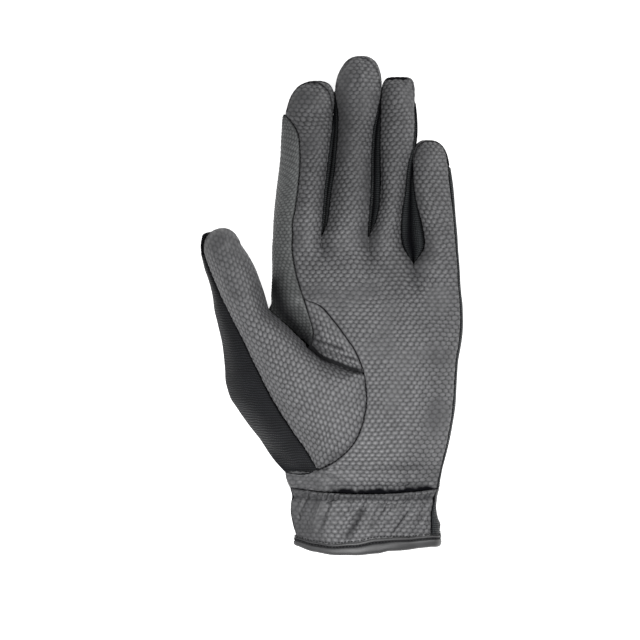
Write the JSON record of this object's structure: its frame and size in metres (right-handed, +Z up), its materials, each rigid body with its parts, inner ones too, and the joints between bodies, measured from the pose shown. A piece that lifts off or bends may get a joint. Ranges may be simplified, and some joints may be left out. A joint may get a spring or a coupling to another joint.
{
  "type": "riding glove",
  "caption": "Left-hand riding glove lying palm up: embossed leather palm, knit back and finger sides, ribbed thumb back, gathered cuff with a bound hem.",
  "frame": {"origin": "middle of the glove on the surface it lies on", "axes": "+X from the thumb to the little finger, +Y from the hem to the fingertips, +Z up out of the palm"},
  "size_m": [0.1204, 0.2278, 0.029],
  "materials": {
    "embossed_leather": "matte grey synthetic leather with a fine pebble emboss",
    "stretch_knit": "matte dark stretch knit",
    "ribbed_mesh": "matte near-black stretch mesh with fine crosswise ribs",
    "smooth_leather": "satin grey smooth leather"
  },
  "bodies": {
    "root": {"palm_panel": "embossed_leather", "back_panel": "stretch_knit", "index_side_panel": "embossed_leather", "index_middle_fourchette": "stretch_knit", "middle_ring_fourchette": "stretch_knit", "ring_little_fourchette": "stretch_knit", "thumb_front_panel": "embossed_leather", "thumb_back_panel": "ribbed_mesh", "cuff_palm_band": "embossed_leather", "cuff_back_band": "smooth_leather", "cuff_gusset": "stretch_knit", "hem_binding": "smooth_leather"}
  },
  "joints": []
}
